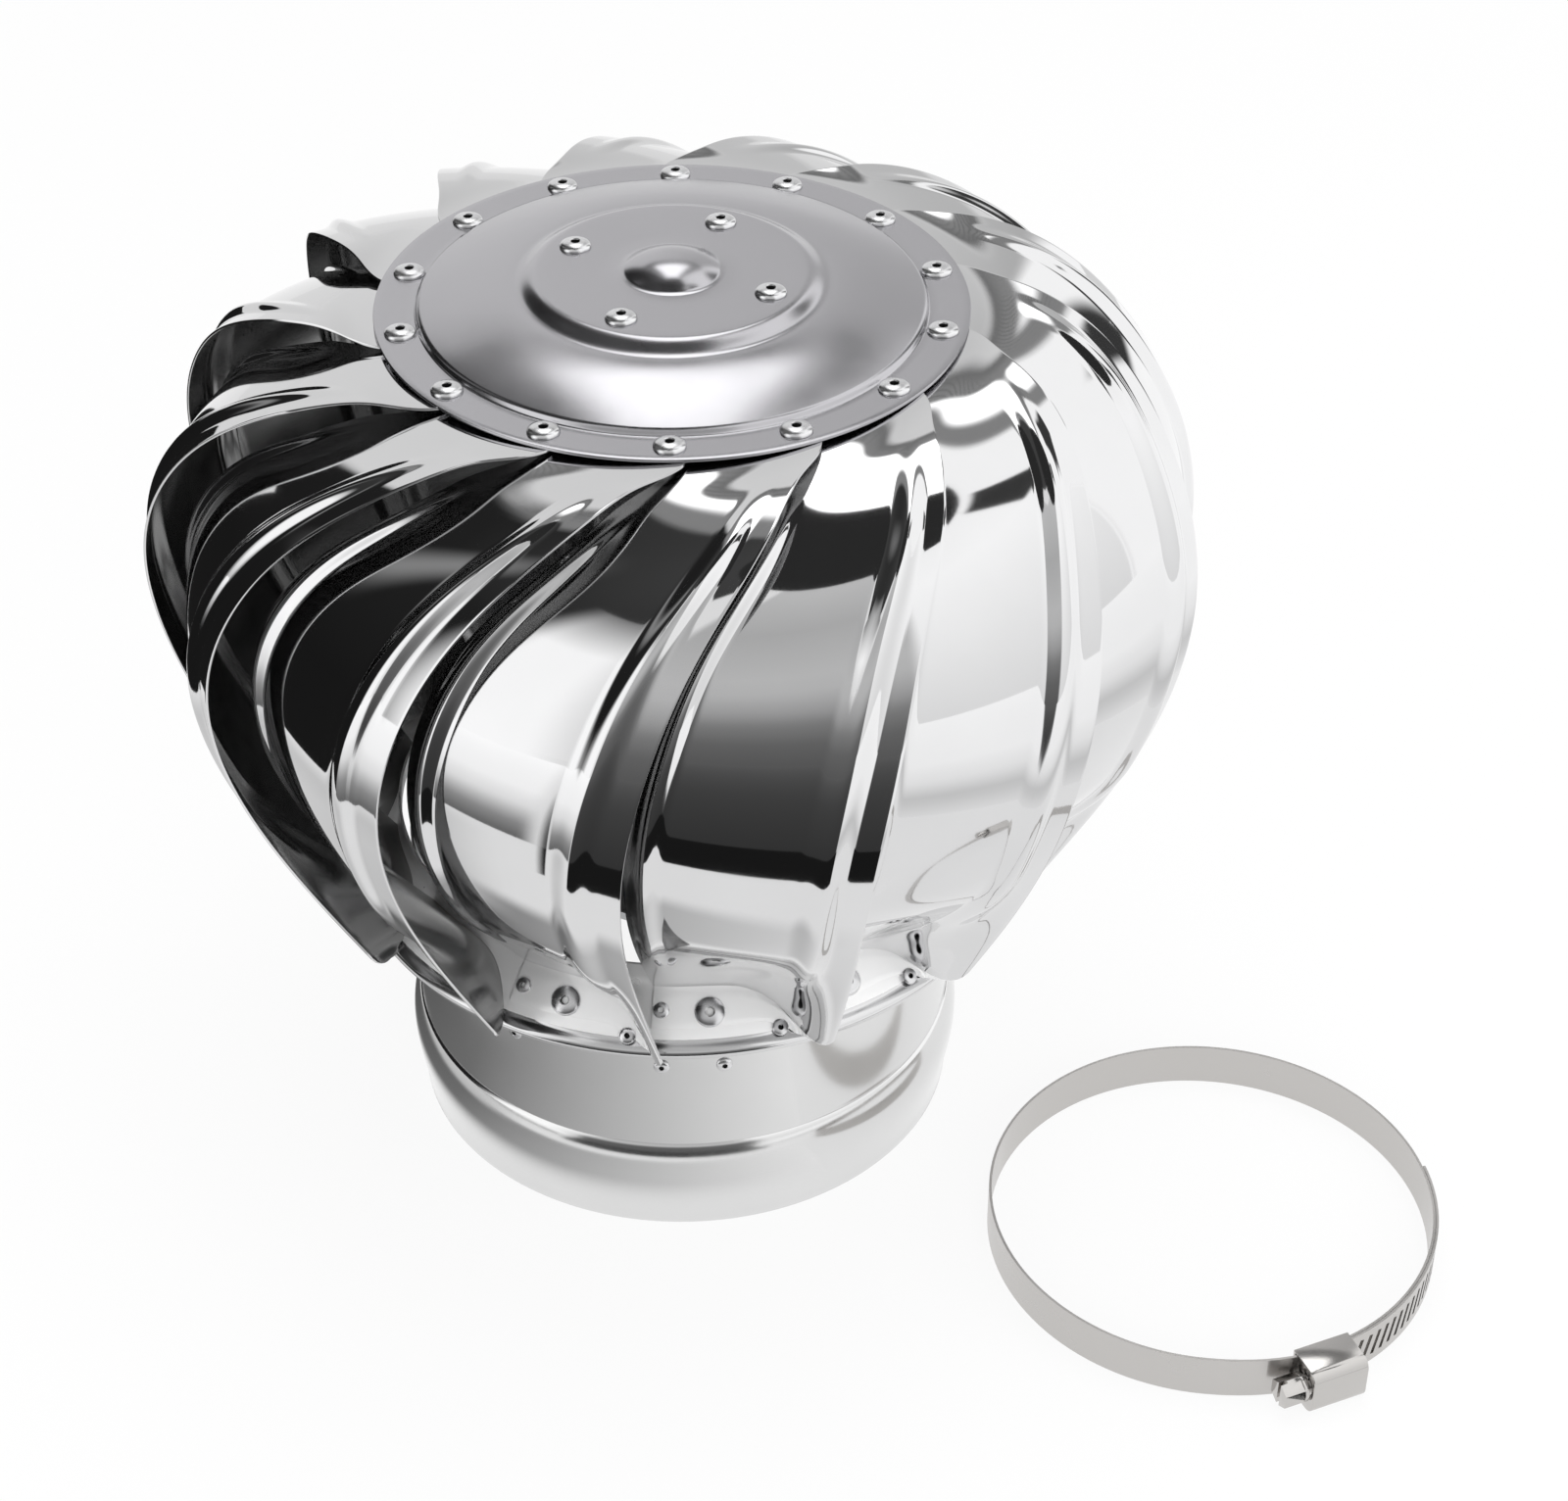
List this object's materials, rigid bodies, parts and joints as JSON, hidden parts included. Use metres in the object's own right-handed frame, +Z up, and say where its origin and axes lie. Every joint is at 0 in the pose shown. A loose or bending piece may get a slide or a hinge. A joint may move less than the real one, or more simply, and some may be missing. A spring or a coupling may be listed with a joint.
{
  "type": "turbine chimney cap",
  "caption": "Wind-driven turbine chimney cap with curved steel blades round a capped ball that spins on a flue collar, and a worm-drive hose clamp.",
  "frame": {"origin": "centre of the flue collar's bottom opening, on the rotor's axis", "axes": "+Z up along the rotor's axis, -Y towards the viewer's side, with the loose clamp at +X and -Y"},
  "size_m": [0.3384, 0.2883, 0.2584],
  "materials": {
    "mirror_sheet": "mirror-polished stainless sheet",
    "satin_sheet": "satin stainless sheet",
    "rivet_steel": "smooth steel rivets",
    "zinc_plate": "zinc-plated steel",
    "bearing_steel": "ground bearing steel",
    "band_steel": "rolled stainless band",
    "screw_steel": "turned steel"
  },
  "bodies": {
    "root": {"flue_collar": "satin_sheet", "shaft_bracket": "zinc_plate", "collar_rivets": "rivet_steel", "shaft": "zinc_plate", "shaft_nuts": "zinc_plate", "shaft_washers": "zinc_plate", "inner_spacer": "zinc_plate", "upper_inner_race": "bearing_steel", "lower_inner_race": "bearing_steel", "clamp_band": "band_steel", "clamp_housing": "band_steel"},
    "rotor": {"top_cap": "satin_sheet", "blade_01": "mirror_sheet", "blade_02": "mirror_sheet", "blade_03": "mirror_sheet", "blade_04": "mirror_sheet", "blade_05": "mirror_sheet", "blade_06": "mirror_sheet", "blade_07": "mirror_sheet", "blade_08": "mirror_sheet", "blade_09": "mirror_sheet", "blade_10": "mirror_sheet", "blade_11": "mirror_sheet", "blade_12": "mirror_sheet", "blade_13": "mirror_sheet", "blade_14": "mirror_sheet", "cap_rivets": "rivet_steel", "hub_rivets": "rivet_steel", "bearing_hub": "zinc_plate", "outer_spacer": "zinc_plate", "upper_outer_race": "bearing_steel", "lower_outer_race": "bearing_steel", "hub_circlip": "bearing_steel", "running_ring": "mirror_sheet", "ring_rivets": "rivet_steel", "foot_eyelets": "rivet_steel"},
    "upper_ball_set": {"upper_balls": "bearing_steel", "upper_cage": "bearing_steel"},
    "lower_ball_set": {"lower_balls": "bearing_steel", "lower_cage": "bearing_steel"},
    "clamp_screw": {"clamp_screw": "screw_steel"}
  },
  "joints": [
    {"name": "rotor_spin", "type": "hinge", "parent": "root", "child": "rotor", "pos_m": [0, 0, 0.2], "axis": [0, 0, 1], "continuous": true},
    {"name": "upper_balls_roll", "type": "hinge", "parent": "root", "child": "upper_ball_set", "pos_m": [0, 0, 0.244], "axis": [0, 0, 1], "continuous": true},
    {"name": "lower_balls_roll", "type": "hinge", "parent": "root", "child": "lower_ball_set", "pos_m": [0, 0, 0.211], "axis": [0, 0, 1], "continuous": true},
    {"name": "clamp_screw_turn", "type": "hinge", "parent": "root", "child": "clamp_screw", "pos_m": [0.16465, -0.14331, 0.00685], "axis": [0.9336, 0.3584, 0], "continuous": true}
  ],
  "couplings": [
    {"joint": "upper_balls_roll", "follows": "rotor_spin", "ratio": 0.632},
    {"joint": "lower_balls_roll", "follows": "rotor_spin", "ratio": 0.632}
  ]
}
